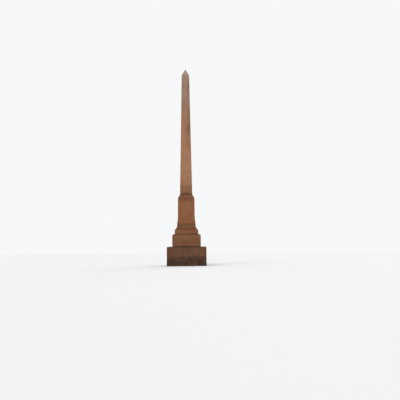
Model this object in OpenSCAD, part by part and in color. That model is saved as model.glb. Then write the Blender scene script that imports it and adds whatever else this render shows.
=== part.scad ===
// Dressed stone obelisk on a stepped and moulded pedestal.
// Millimetres, +Z up, origin at the centre of the underside, front face towards -Y.
// Every stone is square in plan. Its side profile is drawn once and run along both
// axes, so the mouldings mitre at the four corners as they are cut on the real stone.

/* [Base courses] */
// Width of the bottom base across its faces
base_w = 1576; // [1400:4:1760]
// Height of the lower course of blocks
lower_course_h = 345; // [240:5:480]
// Height of the upper course of blocks at its outer edge
upper_course_h = 412; // [280:4:520]
// Radius of the rounded top edge of the upper course
upper_round_r = 40; // [16:2:60]
// Rise of the sloped top of the upper course, from its edge to the second base
wash_rise = 8; // [4:1:24]
// Distance from the middle of each face to the upright joint of the lower course
lower_joint_offset = 206; // [120:2:260]
// Distance from the middle of each face to the upright joint of the upper course
upper_joint_offset = 142; // [90:2:220]

/* [Joints] */
// Thickness of the mortar beds and upright joints
joint_t = 8; // [5:1:12]
// Depth that the mortar is raked back from the stone faces
joint_rake = 6; // [6:1:14]
// Width of the eased edge of each stone along its joints
eased_edge = 5; // [2:1:6]

/* [Second base] */
// Width of the second base across its faces
second_w = 1150; // [1124:2:1240]
// Height of the second base, its rounded top edge included
second_h = 494; // [400:2:640]
// Radius of the rounded top edge of the second base
second_round_r = 84; // [40:2:96]

/* [Fascia course] */
// Width of the fascia course across its faces
fascia_w = 956; // [910:2:968]
// Height of the fascia course
fascia_h = 185; // [140:1:260]
// Radius of the rounded top edge of the fascia course
fascia_round_r = 36; // [16:2:50]

/* [Cove course] */
// Height of the cove course
cove_h = 205; // [140:1:260]
// Width of the ledge left in front of the foot of the cove
cove_ledge = 4; // [2:1:10]

/* [Die] */
// Width of the die at its foot
die_foot_w = 748; // [730:2:780]
// Width of the die where its straight faces start above the flared foot
die_waist_w = 691; // [688:1:704]
// Width of the die at its top
die_top_w = 680; // [650:1:686]
// Height of the die
die_h = 1050; // [800:2:1300]
// Height of the upright band at the foot of the die
die_band_h = 62; // [30:2:90]
// Height of the flare between the band and the straight faces of the die
die_flare_h = 266; // [160:2:340]

/* [Cap] */
// Height of the sloping cap over the die, its upright margin included
cap_h = 168; // [130:1:240]
// Height of the upright margin at the foot of the cap
cap_margin_h = 17; // [8:1:30]
// Width of the ledge left round the foot of the shaft
shaft_ledge = 5; // [2:1:12]

/* [Shaft] */
// Width of the shaft at its foot
shaft_foot_w = 508; // [470:2:560]
// Width of the shaft at its top
shaft_top_w = 322; // [280:2:360]
// Height of the shaft without its pyramidion
shaft_h = 5162; // [4200:1:6200]

/* [Pyramidion] */
// Height of the pyramidion
pyramidion_h = 333; // [240:1:460]
// Width of the blunted tip of the pyramidion
tip_w = 24; // [16:1:40]

/* [Hidden] */
$fn = 96;

// Stone and mortar colours
shaft_stone = [0.62, 0.47, 0.37];
pedestal_stone = [0.53, 0.35, 0.24];
base_stone = [0.40, 0.28, 0.21];
mortar_colour = [0.30, 0.25, 0.21];

// Height at which each bed and stone starts, from the ground up
upper_bed_z = lower_course_h;
upper_z = upper_bed_z + joint_t;
second_bed_z = upper_z + upper_course_h + wash_rise;
second_z = second_bed_z + joint_t;
fascia_bed_z = second_z + second_h;
fascia_z = fascia_bed_z + joint_t;
cove_bed_z = fascia_z + fascia_h;
cove_z = cove_bed_z + joint_t;
die_bed_z = cove_z + cove_h;
die_z = die_bed_z + joint_t;
cap_bed_z = die_z + die_h;
cap_z = cap_bed_z + joint_t;
shaft_bed_z = cap_z + cap_h;
shaft_z = shaft_bed_z + joint_t;
pyramidion_bed_z = shaft_z + shaft_h;
pyramidion_z = pyramidion_bed_z + joint_t;

// The cove runs from the flat top of the fascia course up to the foot of the die
cove_foot_w = fascia_w - 2 * fascia_round_r - 2 * cove_ledge;
cove_radius = hollow_radius((cove_foot_w - die_foot_w) / 2, cove_h);
die_flare_radius = hollow_radius((die_foot_w - die_waist_w) / 2, die_flare_h);
cap_top_w = shaft_foot_w + 2 * shaft_ledge;

// Radius of an arc that is upright at its top and moves out by run over rise
function hollow_radius(run, rise) = (run * run + rise * rise) / (2 * run);

// Closed outline from the points of its right side, listed upwards as [half width, height]
function mirrored(side) =
    concat(side, [for (i = [len(side) - 1 : -1 : 0]) [-side[i][0], side[i][1]]]);

// Outline with straight sides between a foot and a top, both with eased edges
function eased_taper(foot_w, top_w, h) = mirrored([
    [foot_w / 2 - eased_edge, 0], [foot_w / 2, eased_edge],
    [top_w / 2, h - eased_edge], [top_w / 2 - eased_edge, h]
]);

// Rectangle of width w and height h that stands on the axis of the profile
module upright(w, h) {
    translate([-w / 2, 0]) square([w, h]);
}

// Profile with an eased foot and a quarter round of radius r on its top edges
module rounded_top_profile(w, h, r) {
    polygon(mirrored([[w / 2 - eased_edge, 0], [w / 2, eased_edge], [w / 2, h - r]]));
    upright(w - 2 * r, h);
    for (side = [-1, 1]) translate([side * (w / 2 - r), h - r]) circle(r = r);
}

// Profile of width foot_w, hollowed on both sides by arcs of radius r that are upright
// at height h, where the profile is top_w wide
module hollow_profile(foot_w, top_w, h, r) {
    difference() {
        upright(foot_w, h);
        for (side = [-1, 1]) translate([side * (top_w / 2 + r), h]) circle(r = r);
    }
}

// Eases the foot and top edges of the profile that is given as its child
module with_eased_edges(foot_w, top_w, h) {
    run = (foot_w - top_w) / 2;
    intersection() {
        polygon(mirrored([
            [foot_w / 2 - eased_edge, 0], [foot_w / 2, eased_edge],
            [foot_w / 2, h - eased_edge - run], [top_w / 2 - eased_edge, h]
        ]));
        children();
    }
}

// Die: battered faces over a hollow flare and an upright band
module die_profile() {
    flare_top = die_band_h + die_flare_h;
    upright(die_foot_w, die_band_h);
    translate([0, die_band_h])
        hollow_profile(die_foot_w, die_waist_w, die_flare_h, die_flare_radius);
    translate([0, flare_top]) polygon(mirrored([
        [die_waist_w / 2, 0], [die_top_w / 2, die_h - flare_top]
    ]));
}

// Square stone whose four sides all follow the profile that is given as its child
module run_on_four_sides(w) {
    intersection() {
        rotate([90, 0, 0]) translate([0, 0, -w / 2]) linear_extrude(height = w) children();
        rotate([90, 0, 90]) translate([0, 0, -w / 2]) linear_extrude(height = w) children();
    }
}

// Square slab of side w and height h that stands on the axis
module square_slab(w, h) {
    translate([-w / 2, -w / 2, 0]) cube([w, w, h]);
}

// Bed of mortar between two stones, of which the narrower one is stone_w wide
module bed(stone_w, z) {
    color(mortar_colour) translate([0, 0, z]) square_slab(stone_w - 2 * joint_rake, joint_t);
}

// Rectangle from the origin with eased corners
module eased_rectangle(x, y) {
    e = eased_edge;
    polygon([[e, 0], [x - e, 0], [x, e], [x, y - e], [x - e, y], [e, y], [0, y - e], [0, e]]);
}

// Depth of a block from its face to the hearting, in a course with that joint offset
function block_depth(offset) = base_w / 2 - offset - joint_t;

// Width of the square hearting that the four blocks of such a course leave
function hearting_w(offset) = 2 * (offset + joint_t);

// Plan of one of the four blocks of a course, which go round the hearting like a
// pinwheel: one quarter turn for each block, the front one first
module block_plan(turn, offset) {
    rotate(90 * turn) translate([-base_w / 2, -base_w / 2])
        eased_rectangle(base_w / 2 + offset, block_depth(offset));
}

// Upright slab of mortar at the end of the block of the same turn
module upright_slab(turn, offset, h) {
    rotate(90 * turn) translate([offset, -base_w / 2 + joint_rake, 0])
        cube([joint_t, block_depth(offset) - joint_rake, h]);
}

// Lower course as one form: it stands on the ground, and its top edge is eased
module lower_course_form() {
    run_on_four_sides(base_w) polygon(mirrored([
        [base_w / 2, 0], [base_w / 2, lower_course_h - eased_edge],
        [base_w / 2 - eased_edge, lower_course_h]
    ]));
}

// Upper course as one form: a rounded top edge, and a top that sheds water outwards
module upper_course_form() {
    flat_w = base_w - 2 * upper_round_r;
    run_on_four_sides(base_w) {
        rounded_top_profile(base_w, upper_course_h, upper_round_r);
        translate([0, upper_course_h]) polygon(mirrored([
            [flat_w / 2, -upper_round_r], [flat_w / 2, 0], [second_w / 2, wash_rise]
        ]));
    }
}

module lower_block(turn) {
    color(base_stone) intersection() {
        lower_course_form();
        linear_extrude(height = lower_course_h) block_plan(turn, lower_joint_offset);
    }
}

module lower_joint(turn) {
    color(mortar_colour) upright_slab(turn, lower_joint_offset, lower_course_h);
}

module lower_hearting() {
    color(mortar_colour) square_slab(hearting_w(lower_joint_offset), lower_course_h);
}

// The upper blocks go round the other way, so the joints break with those below
module upper_block(turn) {
    color(base_stone) translate([0, 0, upper_z]) mirror([1, 0, 0]) intersection() {
        upper_course_form();
        linear_extrude(height = upper_course_h + wash_rise)
            block_plan(turn, upper_joint_offset);
    }
}

// Upright joint of the upper course, raked back from its rounded top edge as well
module upper_joint(turn) {
    raked_w = base_w - 2 * joint_rake;
    raked_h = upper_course_h - joint_rake;
    color(mortar_colour) translate([0, 0, upper_z]) mirror([1, 0, 0]) intersection() {
        upright_slab(turn, upper_joint_offset, raked_h);
        run_on_four_sides(raked_w)
            rounded_top_profile(raked_w, raked_h, upper_round_r - joint_rake);
    }
}

module upper_hearting() {
    color(mortar_colour) translate([0, 0, upper_z])
        square_slab(hearting_w(upper_joint_offset), upper_course_h + wash_rise);
}

module second_base() {
    color(base_stone) translate([0, 0, second_z]) run_on_four_sides(second_w)
        rounded_top_profile(second_w, second_h, second_round_r);
}

module fascia_course() {
    color(pedestal_stone) translate([0, 0, fascia_z]) run_on_four_sides(fascia_w)
        rounded_top_profile(fascia_w, fascia_h, fascia_round_r);
}

module cove_course() {
    color(pedestal_stone) translate([0, 0, cove_z]) run_on_four_sides(cove_foot_w)
        with_eased_edges(cove_foot_w, die_foot_w, cove_h)
            hollow_profile(cove_foot_w, die_foot_w, cove_h, cove_radius);
}

module die() {
    color(pedestal_stone) translate([0, 0, die_z]) run_on_four_sides(die_foot_w)
        with_eased_edges(die_foot_w, die_top_w, die_h) die_profile();
}

module cap() {
    color(pedestal_stone) translate([0, 0, cap_z]) run_on_four_sides(die_top_w)
        polygon(mirrored([
            [die_top_w / 2 - eased_edge, 0], [die_top_w / 2, eased_edge],
            [die_top_w / 2, cap_margin_h], [cap_top_w / 2, cap_h]
        ]));
}

module shaft() {
    color(shaft_stone) translate([0, 0, shaft_z]) run_on_four_sides(shaft_foot_w)
        polygon(eased_taper(shaft_foot_w, shaft_top_w, shaft_h));
}

module pyramidion() {
    color(shaft_stone) translate([0, 0, pyramidion_z]) run_on_four_sides(shaft_top_w)
        polygon(eased_taper(shaft_top_w, tip_w, pyramidion_h));
}

lower_block(0);  // lower_block_front
lower_block(1);  // lower_block_right
lower_block(2);  // lower_block_back
lower_block(3);  // lower_block_left
lower_joint(0);  // lower_joint_front
lower_joint(1);  // lower_joint_right
lower_joint(2);  // lower_joint_back
lower_joint(3);  // lower_joint_left
lower_hearting();
bed(base_w, upper_bed_z);  // upper_course_bed
upper_block(0);  // upper_block_front
upper_block(3);  // upper_block_right
upper_block(2);  // upper_block_back
upper_block(1);  // upper_block_left
upper_joint(0);  // upper_joint_front
upper_joint(3);  // upper_joint_right
upper_joint(2);  // upper_joint_back
upper_joint(1);  // upper_joint_left
upper_hearting();
bed(second_w, second_bed_z);  // second_base_bed
second_base();
bed(fascia_w, fascia_bed_z);  // fascia_bed
fascia_course();
bed(cove_foot_w, cove_bed_z);  // cove_bed
cove_course();
bed(die_foot_w, die_bed_z);  // die_bed
die();
bed(die_top_w, cap_bed_z);  // cap_bed
cap();
bed(shaft_foot_w, shaft_bed_z);  // shaft_bed
shaft();
bed(shaft_top_w, pyramidion_bed_z);  // pyramidion_bed
pyramidion();
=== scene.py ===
# Looks of a stone obelisk on a moulded pedestal and a stepped base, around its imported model.
# Metres, +Z up, the front face towards -Y. Each stone is a worn skin that stands for its solid.
import math

import bpy
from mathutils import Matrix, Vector, noise


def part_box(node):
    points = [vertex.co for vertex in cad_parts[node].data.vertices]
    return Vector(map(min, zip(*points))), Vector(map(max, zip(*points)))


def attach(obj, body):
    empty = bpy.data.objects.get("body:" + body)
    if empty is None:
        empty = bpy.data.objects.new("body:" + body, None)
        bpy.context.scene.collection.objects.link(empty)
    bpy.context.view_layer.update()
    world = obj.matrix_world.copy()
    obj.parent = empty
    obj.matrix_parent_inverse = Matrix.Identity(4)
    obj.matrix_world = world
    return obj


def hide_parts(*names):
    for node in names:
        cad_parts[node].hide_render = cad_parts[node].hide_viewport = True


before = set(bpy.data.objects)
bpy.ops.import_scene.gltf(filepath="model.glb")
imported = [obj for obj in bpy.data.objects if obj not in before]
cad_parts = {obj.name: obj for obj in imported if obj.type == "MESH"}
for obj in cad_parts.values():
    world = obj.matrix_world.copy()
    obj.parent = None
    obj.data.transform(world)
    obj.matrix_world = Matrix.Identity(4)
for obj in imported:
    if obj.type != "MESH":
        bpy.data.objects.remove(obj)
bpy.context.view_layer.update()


# Lower course of the base
# Four sawn sandstone blocks stand on the ground round a hearting of rubble, turned like a
# pinwheel, so that each face shows one upright joint. They are bedded in lime mortar, and
# their foot is painted dark, a painted shade of the ground's shadow.
STONE_GRID = 0.010  # spacing of a skin's points where it shows
HIDDEN_GRID = 0.12  # and on a side that nothing shows
TURN_IN = 0.040  # how far a skin runs in over its bed, up to the flat face that closes it
MOST_EASED = 0.3  # the most of a side that the rounding at one of its ends may take
CHIP_REACH = 0.016  # how far in from an arris the chips lie
HAIR = 0.00001  # a length too small to see
DULL_GLOSS = 0.25  # half of what a smooth surface mirrors
BLOCK_ROUNDING = 0.006
GROUND_ROUNDING = 0.001
BLOCK_WEAR = 1.2
BASE_OUTLINE = -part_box("lower_block_front")[0].y
BLOCK_FACES = ("front", "right", "back", "left")


def rounded_line(corners, spacing):
    """Points of a profile through corners of (inset, height, rounding), and its worn corners.

    A corner with a rounding is eased over that length on both of its sides. A straight part
    is cut into steps of no more than the spacing.
    """
    line = [Vector(corners[0][:2])]
    worn = []
    for index, (inset, height, rounding) in enumerate(corners[1:], 1):
        corner = Vector((inset, height))
        turn = [corner]
        if rounding:
            worn.append(corner)
            before = (Vector(corners[index - 1][:2]) - corner).normalized() * rounding
            after = (Vector(corners[index + 1][:2]) - corner).normalized() * rounding
            turn = [
                corner + before * (1 - t) ** 2 + after * t ** 2
                for t in (0.0, 0.25, 0.5, 0.75, 1.0)
            ]
        for point in turn:
            start = line[-1]
            steps = max(1, math.ceil((point - start).length / spacing))
            line += [start.lerp(point, step / steps) for step in range(1, steps + 1)]
    return line, worn


def side_steps(length, spacing, rounding):
    """Shares of a side's length where its grid lines stand, closer on the rounded arrises."""
    on_arris = 0.6 * rounding
    inner = length - 2 * rounding
    count = max(1, round(inner / spacing))
    places = [0.0, on_arris]
    places += [rounding + inner * i / count for i in range(count + 1)]
    places += [length - on_arris]
    return [place / length for place in places]


def eased(place, low, high, rounding):
    """A place on a rectangle's outline, moved in where a rounding takes off a corner."""
    held = Vector([
        min(max(value, least + rounding), most - rounding)
        for value, least, most in zip(place, low, high)
    ])
    off = place - held
    if off.length:
        place = held + off.normalized() * max(abs(off.x), abs(off.y))
    return place


def patches(point, size, shift, least, sharpness):
    """How much a point lies in a patch, from 0 to 1.

    Patches are about size metres across. A higher least makes them fewer and smaller, and a
    higher sharpness makes their edges steeper.
    """
    return min(1.0, max(0.0, noise.noise(point / size + Vector(shift)) - least) * sharpness)


def worn_depth(point, arris, wear):
    """How deep rain and frost have cut at a point, which lies arris metres from an arris."""
    hollow = 0.0018 * patches(point, size=0.53, shift=(0.0, 0.0, 0.0), least=0.0, sharpness=1.0)
    pit = 0.0040 * patches(point, size=0.043, shift=(3.1, 0.0, 7.7), least=0.22, sharpness=1.0)
    flake = 0.0016 * patches(point, size=0.23, shift=(6.1, 2.2, 0.4), least=0.34, sharpness=14.0)
    chip = 0.0055 * patches(point, size=0.11, shift=(0.0, 5.3, 1.9), least=0.19, sharpness=8.0)
    nick = 0.0022 * patches(point, size=0.032, shift=(0.0, 0.0, 0.0), least=0.22, sharpness=6.0)
    rub = 0.0006
    near_arris = math.exp(-((arris / CHIP_REACH) ** 2))
    return wear * (hollow + pit + flake + near_arris * (rub + chip + nick))


def ring_faces(levels, count):
    """Faces between rings of count points, from the foot up, and one that closes each end."""
    top = (levels - 1) * count
    faces = [tuple(reversed(range(count))), tuple(range(top, top + count))]
    for foot in range(0, top, count):
        for i in range(count):
            j = (i + 1) % count
            faces.append((foot + i, foot + j, foot + count + j, foot + count + i))
    return faces


def stone_skin(
    name, plan, corners, spacing, rounding, wear, hidden=(), loose=(), lift=None, beds=(1, -2),
):
    """Closed skin of a squared stone, made of rings of points from its foot to its top.

    plan is the (low, high) corner pair of its widest part seen from above, and corners is the
    profile that all four sides follow, from the underside of the stone to its top. hidden names
    sides that nothing shows, loose gives the plan corners that stand free of any joint,
    lift(point) shears the stone's height, and beds gives the indices of the profile corners
    that lie on beds of mortar.
    """
    (x0, y0), (x1, y1) = plan
    line, worn = rounded_line(corners, spacing)
    bedded = [Vector(corners[index][:2]) for index in beds]
    sides = []
    for face, length in zip(BLOCK_FACES, (x1 - x0, y1 - y0, x1 - x0, y1 - y0)):
        grid = HIDDEN_GRID if face in hidden else spacing
        sides.append((length, side_steps(length, grid, rounding)))
    points, arris_away, bed_away = [], [], []
    for inset, height in line:
        low_x, high_x, low_y, high_y = x0 + inset, x1 - inset, y0 + inset, y1 - inset
        turn = min(rounding, MOST_EASED * (high_x - low_x), MOST_EASED * (high_y - low_y))
        around = [(low_x, low_y), (high_x, low_y), (high_x, high_y), (low_x, high_y)]
        here = Vector((inset, height))
        from_worn = min((here - corner).length for corner in worn)
        from_beds = min((here - corner).length for corner in bedded)
        on_bed = min(height - line[0].y, line[-1].y - height) < HAIR
        for side, (length, steps) in enumerate(sides):
            next_side = (side + 1) % 4
            start, end = Vector(around[side]), Vector(around[next_side])
            for share in steps:
                place = eased(start.lerp(end, share), around[0], around[2], turn)
                to_start, to_end = share * length, (1 - share) * length
                to_joints = [
                    away for away, corner in ((to_start, side), (to_end, next_side))
                    if loose and corner not in loose
                ]
                points.append(Vector((place.x, place.y, height)))
                arris_away.append(from_worn if on_bed else min(to_start, to_end, from_worn))
                bed_away.append(min([from_beds] + to_joints))
    if lift:
        points = [lift(point) for point in points]
    count = len(points) // len(line)
    mesh = bpy.data.meshes.new(name)
    mesh.from_pydata(points, [], ring_faces(len(line), count))
    # The first ring and the last lie between stones, out of the weather, and aren't worn.
    normals = [item.vector.copy() for item in mesh.vertex_normals]
    for index in range(count, len(points) - count):
        vertex = mesh.vertices[index]
        vertex.co -= normals[index] * worn_depth(vertex.co, arris_away[index], wear)
    for attribute, values in (("arris_away", arris_away), ("bed_away", bed_away)):
        mesh.attributes.new(attribute, "FLOAT", "POINT").data.foreach_set("value", values)
    mesh.shade_smooth()
    return mesh


def tone(red, green, blue):
    """A stone's colour, from the screen values that it shows in plain light."""
    screen = [value / 255 for value in (red, green, blue)]
    light = [v / 12.92 if v <= 0.04045 else ((v + 0.055) / 1.055) ** 2.4 for v in screen]
    return (*light, 1.0)


class Amount:
    """A number that changes over the stone. Sums with it become Math nodes of its tree."""

    def __init__(self, tree, socket):
        self.tree = tree
        self.socket = socket

    def maths(self, operation, *numbers):
        return self.tree.node("Math", {"operation": operation}, dict(enumerate(numbers)))

    def __add__(self, other):
        return self.maths("ADD", self, other)

    def __sub__(self, other):
        return self.maths("SUBTRACT", self, other)

    def __rsub__(self, other):
        return self.maths("SUBTRACT", other, self)

    def __mul__(self, other):
        return self.maths("MULTIPLY", self, other)

    __radd__ = __add__
    __rmul__ = __mul__

    def __abs__(self):
        return self.maths("ABSOLUTE", self)

    def least(self, other):
        return self.maths("MINIMUM", self, other)

    def most(self, other):
        return self.maths("MAXIMUM", self, other)

    def between(self, low, high):
        """0 at low, 1 at high, and a soft step from one to the other."""
        limits = {"Value": self, "From Min": low, "From Max": high}
        return self.tree.node("MapRange", {"interpolation_type": "SMOOTHSTEP"}, limits)

    def beside(self, output):
        """Another output of the node that gives this one."""
        return Amount(self.tree, self.socket.node.outputs[output])


class NodeTree:
    """The nodes of a material or of the world."""

    def __init__(self, owner):
        owner.use_nodes = True
        self.owner = owner
        self.nodes = owner.node_tree.nodes
        self.links = owner.node_tree.links

    def node(self, kind, settings=None, inputs=None, output=0):
        """Any node: its settings are set first, then the values or links of its sockets."""
        made = self.nodes.new("ShaderNode" + kind)
        for setting, value in (settings or {}).items():
            setattr(made, setting, value)
        for socket, value in (inputs or {}).items():
            self.feed(made.inputs[socket], value)
        return Amount(self, made.outputs[output])

    def feed(self, socket, value):
        """Links an amount to a socket, or sets the socket to a value that is the same all over."""
        if isinstance(value, Amount):
            self.links.new(value.socket, socket)
        else:
            socket.default_value = value


class Paint(NodeTree):
    """A dull material, with the sockets of its shader."""

    def __init__(self, name):
        super().__init__(bpy.data.materials.new(name))
        self.shader = self.nodes["Principled BSDF"].inputs
        self.feed(self.shader["Specular IOR Level"], DULL_GLOSS)


class Finish(Paint):
    """One finish of the obelisk, whose pattern lies in the obelisk's own metres."""

    def __init__(self, name):
        super().__init__(name)
        self.place = self.node("TexCoord", output="Object")
        self.across = self.node("SeparateXYZ", inputs={"Vector": self.place}, output="X")
        self.deep = self.across.beside("Y")
        self.height = self.across.beside("Z")

    def blend(self, amount, first, second, way="MIX"):
        """One colour turning into another by an amount from 0 to 1."""
        settings = {"data_type": "RGBA", "blend_type": way}
        # The Mix node's sockets share their names: 0 is its factor, and 6, 7 and 2 are colours.
        return self.node("Mix", settings, {0: amount, 6: first, 7: second}, output=2)

    def cloud(self, size, detail=3.0, stretch=(1.0, 1.0, 1.0), shift=(0.0, 0.0, 0.0)):
        """Soft noise from 0 to 1, in clouds of about that size in metres, stretched along axes."""
        scale = [1 / (size * share) for share in stretch]
        mapping = {"Vector": self.place, "Location": shift, "Scale": scale}
        place = self.node("Mapping", None, mapping)
        return self.node("TexNoise", None, {"Vector": place, "Scale": 1.0, "Detail": detail})

    def uneven(self, size, reach, stretch=(1.0, 1.0, 1.0), shift=(0.0, 0.0, 0.0)):
        """The height, shifted up or down by up to half the reach, so its limits are ragged."""
        return self.height + (self.cloud(size, stretch=stretch, shift=shift) - 0.5) * reach

    def ladder(self, height, lowest, *steps):
        """A colour that changes with height, by (from, to, colour) steps that go up."""
        colour = lowest
        for low, high, above in steps:
            colour = self.blend(height.between(low, high), colour, above)
        return colour

    def near(self, attribute, inner, outer):
        """1 where a skin's attribute gives less metres than inner, and 0 where more than outer."""
        away = self.node("Attribute", {"attribute_name": attribute}, output="Fac")
        return 1 - away.between(inner, outer)

    def surface(self, colour, roughness, relief, depth):
        """Joins the finish to its shader, with the relief as bumps of that depth in metres."""
        self.feed(self.shader["Base Color"], colour)
        self.feed(self.shader["Roughness"], roughness)
        bump = self.node("Bump", None, {"Height": relief, "Strength": 0.7, "Distance": depth})
        self.feed(self.shader["Normal"], bump)
        return self.owner


def sandstone(finish, body, grime, uneven, depth):
    """Weathered sandstone over a body colour: bedding, iron mottle, sand grains, pits, wear.

    uneven is how much the stone's colour varies, and depth is that of its bumps in metres.
    """
    rust, fresh_stone = tone(158, 96, 66), tone(178, 140, 112)
    dark_sand, pale_sand = tone(80, 60, 48), tone(214, 190, 166)
    mottle = finish.cloud(0.42, detail=4.0)
    patch = finish.cloud(0.11, detail=3.0, shift=(8.0, 3.0, 5.0))
    bedding = finish.cloud(0.030, detail=2.0, stretch=(14.0, 14.0, 1.0), shift=(2.0, 7.0, 1.0))
    lamina = finish.cloud(0.006, detail=2.0, stretch=(50.0, 50.0, 1.0), shift=(1.0, 3.0, 8.0))
    speckle = finish.cloud(0.018, detail=3.0, shift=(5.0, 1.0, 3.0))
    grain = finish.cloud(0.0045, detail=2.0)
    holes = finish.cloud(0.010, detail=2.0, shift=(9.0, 6.0, 2.0))
    runs = finish.cloud(0.035, detail=2.0, stretch=(1.0, 1.0, 14.0), shift=(4.3, 9.4, 5.2))
    pits = holes.between(0.62, 0.72) * speckle.between(0.48, 0.60)
    rubbed = finish.near("arris_away", 0.002, 0.024) * speckle.between(0.44, 0.62)
    # Darker near the beds and upright joints.
    bed_darkening = finish.near("bed_away", 0.003, 0.032) * speckle.between(0.25, 0.60)

    colour = finish.blend(mottle.between(0.35, 0.70) * (0.30 * uneven), body, rust, "OVERLAY")
    colour = finish.blend(patch.between(0.50, 0.72) * (0.14 * uneven), colour, grime)
    colour = finish.blend(bedding.between(0.45, 0.75) * (0.16 * uneven), colour, grime)
    colour = finish.blend(lamina.between(0.50, 0.70) * mottle * 0.30, colour, grime)
    colour = finish.blend(grain.between(0.50, 0.72) * 0.30, colour, dark_sand, "MULTIPLY")
    colour = finish.blend(speckle.between(0.58, 0.75) * 0.22, colour, pale_sand, "SOFT_LIGHT")
    colour = finish.blend(pits * 0.50, colour, grime)
    colour = finish.blend(runs.between(0.52, 0.72) * mottle * 0.32, colour, grime)
    colour = finish.blend(rubbed * patch.between(0.46, 0.64) * 0.20, colour, fresh_stone)
    colour = finish.blend(bed_darkening * 0.35, colour, grime)

    relief = grain * 0.35 + bedding * 0.35 + lamina * 0.20 + speckle * 0.5 + mottle * 0.4
    roughness = 0.98 - grain.between(0.4, 0.8) * 0.10
    return finish.surface(colour, roughness, relief - pits * 0.9, depth)


base_stone = Finish("base_sandstone")
# The lower course's foot is painted dark in patches of two tones, a painted shade of the ground's
# shadow that ends between 0.24 and 0.44 m.
paler_patch = base_stone.cloud(0.15, detail=4.0, shift=(7.0, 1.0, 6.0)).between(0.44, 0.64)
ground_shade_tone = base_stone.blend(paler_patch, tone(68, 48, 37), tone(88, 64, 47))
# Above it the base's tones are the stone's own colour with painted shade, as the whole base lies
# below the shaft's sunlit part.
body = base_stone.ladder(
    base_stone.uneven(0.30, reach=0.10, shift=(1.0, 4.0, 2.0)), ground_shade_tone,
    (0.24, 0.44, tone(107, 76, 54)),
    # A painted highlight: the second base's foot, just above the ledge, is painted lighter to
    # offset the shade there.
    (0.76, 0.78, tone(140, 100, 73)),
    (0.80, 0.94, tone(124, 87, 60)),
    (0.98, 1.20, tone(128, 90, 64)),
)
# The ledge round the second base is darker away from its corners, most of it along the outer edge.
from_x, from_y = abs(base_stone.across), abs(base_stone.deep)
off_corners = 1 - from_x.least(from_y).between(0.50, 0.60)
on_ledge = base_stone.height.between(0.715, 0.745) * (1 - base_stone.height.between(0.772, 0.780))
on_edge = from_x.most(from_y).between(0.69, 0.75)
ledge_darkening = off_corners * on_ledge * (on_edge * 0.42 + 0.18)
body = base_stone.blend(ledge_darkening, body, tone(38, 25, 13))
# The rounded shoulder of the second base holds the wet, and is darker.
shoulder = base_stone.uneven(0.05, reach=0.03).between(1.18, 1.26)
body = base_stone.blend(shoulder * 0.35, body, tone(62, 44, 34))
base_sandstone = sandstone(base_stone, body, grime=tone(48, 36, 30), uneven=1.0, depth=0.004)


def set_stone(piece_name, node, mesh, material):
    """Sets a stone's skin in place of its solid."""
    mesh.materials.append(material)
    piece = bpy.data.objects.new(piece_name, mesh)
    bpy.context.scene.collection.objects.link(piece)
    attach(piece, "root")
    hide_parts(node)


def block_sides(plan):
    """Sides of a block that face inwards, and its plan corners that stand free of joints."""
    (x0, y0), (x1, y1) = plan
    outer = BASE_OUTLINE - HAIR
    faces = zip(BLOCK_FACES, (-y0, x1, y1, -x0))
    inward = [face for face, reach in faces if reach < outer]
    corners = ((x0, y0), (x1, y0), (x1, y1), (x0, y1))
    free = [i for i, (x, y) in enumerate(corners) if abs(x) > outer and abs(y) > outer]
    return inward, free


for face in BLOCK_FACES:
    node = "lower_block_" + face
    low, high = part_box(node)
    plan = (low.xy, high.xy)
    corners = [
        (TURN_IN, low.z, 0.0), (0.0, low.z, GROUND_ROUNDING),
        (0.0, high.z, BLOCK_ROUNDING), (TURN_IN, high.z, 0.0),
    ]
    mesh = stone_skin(
        node + "_skin", plan, corners, STONE_GRID, BLOCK_ROUNDING, BLOCK_WEAR, *block_sides(plan),
    )
    set_stone("lower_stone_" + face, node, mesh, base_sandstone)


# Upper course of the base
# Four more blocks of the same stone lie on a bed of mortar. They go round the other way, so
# their joints break with those below. Their top edge is rounded, and their tops are cut to
# shed water outwards.
UPPER_ROUND = 0.040
WASH_RISE = 0.008
WASH_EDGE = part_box("second_base")[1].x
UPPER_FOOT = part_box("upper_block_front")[0].z
UPPER_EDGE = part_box("upper_block_front")[1].z - WASH_RISE
TOP_REACH = 0.235  # how far in a block's top runs, past the edge of the second base


def quarter_round(radius, top, steps):
    """Profile corners of a quarter round on a top edge, from its foot upwards."""
    turns = [math.pi / 2 * step / steps for step in range(steps + 1)]
    return [(radius * (1 - math.cos(t)), top - radius * (1 - math.sin(t)), 0.0) for t in turns]


def shed(point):
    """A point of an upper block, raised by the slope that is cut on top of the course."""
    out = max(abs(point.x), abs(point.y))
    flat_edge = BASE_OUTLINE - UPPER_ROUND
    climbed = min(1.0, max(0.0, (flat_edge - out) / (flat_edge - WASH_EDGE)))
    share = (point.z - UPPER_FOOT) / (UPPER_EDGE - UPPER_FOOT)
    return point + Vector((0.0, 0.0, WASH_RISE * climbed * share))


corners = [
    (TURN_IN, UPPER_FOOT, 0.0), (0.0, UPPER_FOOT, BLOCK_ROUNDING),
    *quarter_round(UPPER_ROUND, UPPER_EDGE, steps=10),
    (BASE_OUTLINE - WASH_EDGE, UPPER_EDGE, 0.0), (TOP_REACH, UPPER_EDGE, 0.0),
]
for face in BLOCK_FACES:
    node = "upper_block_" + face
    low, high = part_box(node)
    plan = (low.xy, high.xy)
    mesh = stone_skin(
        node + "_skin", plan, corners, STONE_GRID, BLOCK_ROUNDING, BLOCK_WEAR, *block_sides(plan),
        lift=shed,
    )
    set_stone("upper_stone_" + face, node, mesh, base_sandstone)


# Second base
# One squared block of the same sandstone, bedded on the upper course. Its top edge is worked
# to a quarter round that throws rain clear of the joint below.
SECOND_ROUND = 0.084
STONE_ROUNDING = 0.008
SECOND_WEAR = 1.0

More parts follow.
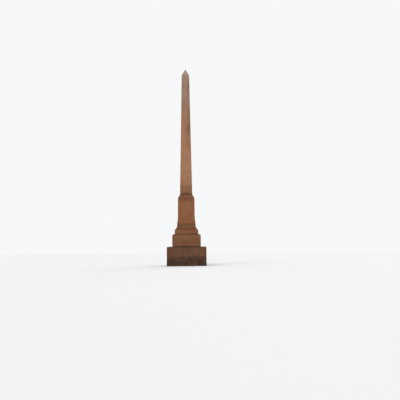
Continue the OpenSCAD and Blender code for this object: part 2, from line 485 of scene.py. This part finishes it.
low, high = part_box("second_base")
fascia_inset = high.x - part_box("fascia_course")[1].x
corners = [
    (TURN_IN, low.z, 0.0), (0.0, low.z, STONE_ROUNDING),
    *quarter_round(SECOND_ROUND, high.z, steps=14),
    (fascia_inset, high.z, 0.0), (fascia_inset + TURN_IN, high.z, 0.0),
]
plan = (low.xy, high.xy)
mesh = stone_skin("second_base_skin", plan, corners, STONE_GRID, STONE_ROUNDING, SECOND_WEAR)
set_stone("second_base_stone", "second_base", mesh, base_sandstone)


# Fascia and cove courses
# Two flat stones bedded in mortar carry the die: a fascia with a rounded top edge, then a
# course hollowed on its four sides. Both are rubbed sandstone, darker and browner than the
# die.
FASCIA_ROUND = 0.036
COVE_LEDGE = 0.004
COVE_ROUNDING = 0.005
PEDESTAL_WEAR = 0.9

pedestal_stone = Finish("pedestal_sandstone")
# The pedestal lies below the shaft's sunlit part: its tones are the stone's own colour with
# painted shade, darker towards the bottom.
body = pedestal_stone.ladder(
    pedestal_stone.uneven(0.25, reach=0.06, shift=(6.0, 2.0, 2.0)), tone(133, 91, 60),
    (1.40, 1.44, tone(122, 80, 53)),
    (1.46, 1.48, tone(109, 71, 46)),
    (1.50, 1.53, tone(119, 79, 51)),
    (1.67, 1.69, tone(133, 90, 57)),
    (1.85, 2.05, tone(141, 97, 67)),
    (2.54, 2.66, tone(126, 87, 58)),
    (2.735, 2.755, tone(123, 85, 58)),
)
pedestal_sandstone = sandstone(
    pedestal_stone, body, grime=tone(74, 50, 36), uneven=0.8, depth=0.003,
)


def hollow(run, rise, foot, steps):
    """Profile corners of a hollow that sweeps in by its run from its foot, and ends upright."""
    radius = (run * run + rise * rise) / (2 * run)
    corners = []
    for step in range(steps + 1):
        up = rise * step / steps
        out = radius - math.sqrt(radius * radius - (rise - up) ** 2)
        corners.append((run - out, foot + up, 0.0))
    return corners


low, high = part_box("fascia_course")
cove_inset = FASCIA_ROUND + COVE_LEDGE
cove_half = high.x - cove_inset
corners = [
    (TURN_IN, low.z, 0.0), (0.0, low.z, STONE_ROUNDING),
    *quarter_round(FASCIA_ROUND, high.z, steps=8),
    (cove_inset, high.z, 0.0), (cove_inset + TURN_IN, high.z, 0.0),
]
plan = (low.xy, high.xy)
mesh = stone_skin("fascia_skin", plan, corners, STONE_GRID, STONE_ROUNDING, PEDESTAL_WEAR)
set_stone("fascia_stone", "fascia_course", mesh, pedestal_sandstone)

low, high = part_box("cove_course")
run = cove_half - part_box("die")[1].x
corners = [
    (TURN_IN, low.z, 0.0), (0.0, low.z, COVE_ROUNDING),
    *hollow(run, high.z - low.z, low.z, steps=12)[1:-1],
    (run, high.z, COVE_ROUNDING), (run + TURN_IN, high.z, 0.0),
]
plan = ((-cove_half, -cove_half), (cove_half, cove_half))
mesh = stone_skin("cove_skin", plan, corners, STONE_GRID, STONE_ROUNDING, PEDESTAL_WEAR)
set_stone("cove_stone", "cove_course", mesh, pedestal_sandstone)


# Die
# The tall block of the pedestal, one piece of sandstone bedded on the cove course. Its faces
# lean in a little, and its foot flares out through a long hollow to an upright band.
DIE_BAND = 0.062
DIE_FLARE = 0.266
DIE_WAIST_HALF = 0.3455
DIE_TOP_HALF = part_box("cap")[1].x
DIE_ROUNDING = 0.007

low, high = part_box("die")
waist_inset = high.x - DIE_WAIST_HALF
top_inset = high.x - DIE_TOP_HALF
corners = [
    (TURN_IN, low.z, 0.0), (0.0, low.z, DIE_ROUNDING), (0.0, low.z + DIE_BAND, 0.0),
    *hollow(waist_inset, DIE_FLARE, low.z + DIE_BAND, steps=16)[1:],
    (top_inset, high.z, DIE_ROUNDING), (top_inset + TURN_IN, high.z, 0.0),
]
plan = (low.xy, high.xy)
mesh = stone_skin("die_skin", plan, corners, STONE_GRID, STONE_ROUNDING, PEDESTAL_WEAR)
set_stone("die_stone", "die", mesh, pedestal_sandstone)


# Cap
# A slab of the pedestal's sandstone, bedded on the die. It is weathered on four sides up to
# the foot of the shaft, and keeps a narrow upright margin at its edge.
CAP_MARGIN = 0.017
CAP_FOOT_ROUNDING = 0.007
CAP_EDGE_ROUNDING = 0.004
SHAFT_LEDGE = 0.005

low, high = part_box("cap")
slope_inset = high.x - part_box("shaft")[1].x - SHAFT_LEDGE
corners = [
    (TURN_IN, low.z, 0.0), (0.0, low.z, CAP_FOOT_ROUNDING),
    (0.0, low.z + CAP_MARGIN, CAP_EDGE_ROUNDING),
    (slope_inset, high.z, CAP_EDGE_ROUNDING), (slope_inset + TURN_IN, high.z, 0.0),
]
plan = (low.xy, high.xy)
mesh = stone_skin("cap_skin", plan, corners, STONE_GRID, STONE_ROUNDING, PEDESTAL_WEAR)
set_stone("cap_stone", "cap", mesh, pedestal_sandstone)


# Shaft
# One long sandstone monolith with a straight taper, set on a bed of mortar. It is paler than
# the pedestal, its foot is painted darker as painted shade, and dark stains run down its front.
SHAFT_TOP_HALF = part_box("pyramidion")[1].x
SHAFT_GRID = 0.013
SHAFT_ARRIS_ROUNDING = 0.007
SHAFT_BED_ROUNDING = 0.006
SHAFT_WEAR = 0.9
# The place (x, y, z), reach across, reach up and down, and strength of each stain
SHAFT_STAINS = (
    (0.125, -0.17, 7.44, 0.060, 0.52, 0.44),
    (0.160, -0.19, 6.45, 0.060, 0.22, 0.30),
    (0.140, -0.20, 6.08, 0.100, 0.30, 0.34),
    (0.120, -0.20, 5.68, 0.120, 0.36, 0.56),
    (0.120, -0.21, 5.10, 0.130, 0.46, 0.14),
    (0.000, -0.20, 5.70, 0.260, 0.46, 0.10),
    (0.015, -0.21, 5.50, 0.070, 0.18, 0.30),
)

shaft_stone = Finish("shaft_sandstone")
blotch = shaft_stone.cloud(0.22, detail=4.0, stretch=(1.0, 1.0, 2.5), shift=(3.0, 3.0, 3.0))
height = shaft_stone.uneven(0.16, reach=0.12, stretch=(1.0, 1.0, 1.6))
# Below about 3.3 m the shaft is painted darker, a painted shade under the line where the low sun
# stops.
body = shaft_stone.ladder(
    height + (blotch - 0.5) * 0.03, tone(107, 74, 51),
    (2.93, 3.03, tone(135, 97, 70)),
    (3.23, 3.37, tone(157, 114, 85)),
    (3.42, 3.90, tone(161, 119, 90)),
)
body = shaft_stone.ladder(
    height + (blotch - 0.5) * 0.8, body,
    (5.9, 6.5, tone(153, 121, 96)),
    (6.5, 7.3, tone(154, 125, 107)),
    (7.6, 7.9, tone(158, 130, 112)),
)
# The pyramidion is cut from the same stone, and rain has washed it palest.
body = shaft_stone.blend(height.between(8.02, 8.14), body, tone(171, 147, 131))
stain = 0.0
for x, y, z, reach, length, strength in SHAFT_STAINS:
    side, front, up = shaft_stone.across - x, shaft_stone.deep - y, shaft_stone.height - z
    away = side * side * reach ** -2 + front * front * reach ** -2 + up * up * length ** -2
    ragged = (1.25 - away + (blotch - 0.5) * 3.0).between(0.0, 1.4)
    stain = (ragged * strength).most(stain)
body = shaft_stone.blend(stain, body, tone(86, 62, 46))
shaft_sandstone = sandstone(shaft_stone, body, grime=tone(84, 60, 44), uneven=0.6, depth=0.003)

low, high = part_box("shaft")
top_inset = high.x - SHAFT_TOP_HALF
corners = [
    (TURN_IN, low.z, 0.0), (0.0, low.z, SHAFT_BED_ROUNDING),
    (top_inset, high.z, SHAFT_BED_ROUNDING), (top_inset + TURN_IN, high.z, 0.0),
]
plan = (low.xy, high.xy)
mesh = stone_skin("shaft_skin", plan, corners, SHAFT_GRID, SHAFT_ARRIS_ROUNDING, SHAFT_WEAR)
set_stone("shaft_monolith", "shaft", mesh, shaft_sandstone)


# Pyramidion
# The pointed sandstone that closes the shaft, set on a bed of mortar. Its tip is blunted,
# and its arrises are less worn than those below.
TIP_HALF = 0.012
TIP_ROUNDING = 0.006
TIP_TURN_IN = 0.008
TIP_WEAR = 0.7

low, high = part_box("pyramidion")
tip_inset = high.x - TIP_HALF
corners = [
    (TURN_IN, low.z, 0.0), (0.0, low.z, TIP_ROUNDING),
    (tip_inset, high.z, TIP_ROUNDING), (tip_inset + TIP_TURN_IN, high.z, 0.0),
]
plan = (low.xy, high.xy)
mesh = stone_skin(
    "pyramidion_skin", plan, corners, STONE_GRID, TIP_ROUNDING, TIP_WEAR, beds=(1,),
)
set_stone("pyramidion_stone", "pyramidion", mesh, shaft_sandstone)


# Mortar beds, upright joints and hearting
# Lime mortar with coarse sand, raked back from the faces, dark with dirt and, below the
# shaft's sunlit part, with painted shade. The hearting of the two base courses is the same
# mortar round rubble, and nothing shows it.
mortar = Finish("raked_mortar")
sand = mortar.cloud(0.003, detail=2.0)
lump = mortar.cloud(0.025, detail=4.0)
# Darker towards the bottom, partly dirt and partly painted shade of the lower part, darkest at the
# shaft's bed, and pale near the top.
mortar_dirt_and_shade = mortar.ladder(
    mortar.height, tone(46, 36, 30),
    (0.85, 1.25, tone(84, 62, 46)),
    (1.60, 1.65, tone(104, 76, 54)),
    (2.80, 2.90, tone(34, 24, 18)),
    (3.00, 7.00, tone(150, 120, 102)),
)
colour = mortar.blend(lump.between(0.30, 0.70), mortar_dirt_and_shade, tone(112, 86, 66))
colour = mortar.blend(sand.between(0.55, 0.70) * 0.35, colour, tone(116, 98, 80))
raked_mortar = mortar.surface(colour, 0.97 - sand * 0.05, relief=sand * 0.5 + lump, depth=0.004)
for name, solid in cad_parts.items():
    if name.endswith(("_bed", "_hearting")) or "_joint_" in name:
        solid.material_slots[0].material = raked_mortar


# Floor, light and camera
# A pale floor under a soft even light, and the camera low in front, where the photograph
# was taken from.
FLOOR_REACH = 400.0
FLOOR_LEVEL = -0.001
FLOOR_COLOUR = (0.84, 0.84, 0.85, 1.0)
# The name, strength, turn and height above the horizon of each lamp, in degrees
LAMPS = (("key", 1.35, -32.0, 38.0), ("back_fill", 0.55, 150.0, 35.0))
LAMP_SPREAD = 35.0
EYE = (-0.225, -18.32, 0.53)
LENS = 39.6
LOOK_UP = 6.80
LOOK_RIGHT = 2.525
LEAN = -0.57

corners = ((-1, -1), (1, -1), (1, 1), (-1, 1))
points = [(x * FLOOR_REACH, y * FLOOR_REACH, FLOOR_LEVEL) for x, y in corners]
mesh = bpy.data.meshes.new("floor")
mesh.from_pydata(points, [], [(0, 1, 2, 3)])
floor_paint = Paint("floor_paint")
floor_paint.feed(floor_paint.shader["Base Color"], FLOOR_COLOUR)
floor_paint.feed(floor_paint.shader["Roughness"], 0.9)
mesh.materials.append(floor_paint.owner)
floor = bpy.data.objects.new("floor", mesh)
bpy.context.scene.collection.objects.link(floor)

world = bpy.data.worlds.new("studio")
bpy.context.scene.world = world
studio = NodeTree(world)
camera_ray = studio.node("LightPath", output="Is Camera Ray")
mirrored_ray = camera_ray.beside("Is Glossy Ray").most(camera_ray.beside("Is Transmission Ray"))
light = studio.node("Background", None, {"Color": (0.98, 0.99, 1.0, 1.0), "Strength": 0.70})
backdrop = studio.node("Background", None, {"Color": (0.93, 0.94, 0.95, 1.0), "Strength": 1.0})
sky = studio.node("MixShader", None, {0: camera_ray.most(mirrored_ray), 1: light, 2: backdrop})
studio.feed(studio.nodes["World Output"].inputs["Surface"], sky)

for name, strength, turn, rise in LAMPS:
    lamp = bpy.data.lights.new(name, "SUN")
    lamp.energy = strength
    lamp.angle = math.radians(LAMP_SPREAD)
    lamp_object = bpy.data.objects.new(name, lamp)
    lamp_object.rotation_euler = (math.radians(90.0 - rise), 0.0, math.radians(turn))
    bpy.context.scene.collection.objects.link(lamp_object)

camera = bpy.data.objects.new("camera", bpy.data.cameras.new("camera"))
camera.data.lens = LENS
camera.data.sensor_width = 36.0
camera.data.clip_end = 2000.0
camera.location = EYE
camera.rotation_mode = "XYZ"
camera.rotation_euler = (math.radians(90.0 + LOOK_UP), 0.0, math.radians(-LOOK_RIGHT))
camera.rotation_euler.rotate_axis("Z", math.radians(LEAN))
bpy.context.scene.collection.objects.link(camera)
bpy.context.scene.camera = camera
bpy.context.scene.view_settings.view_transform = "Standard"
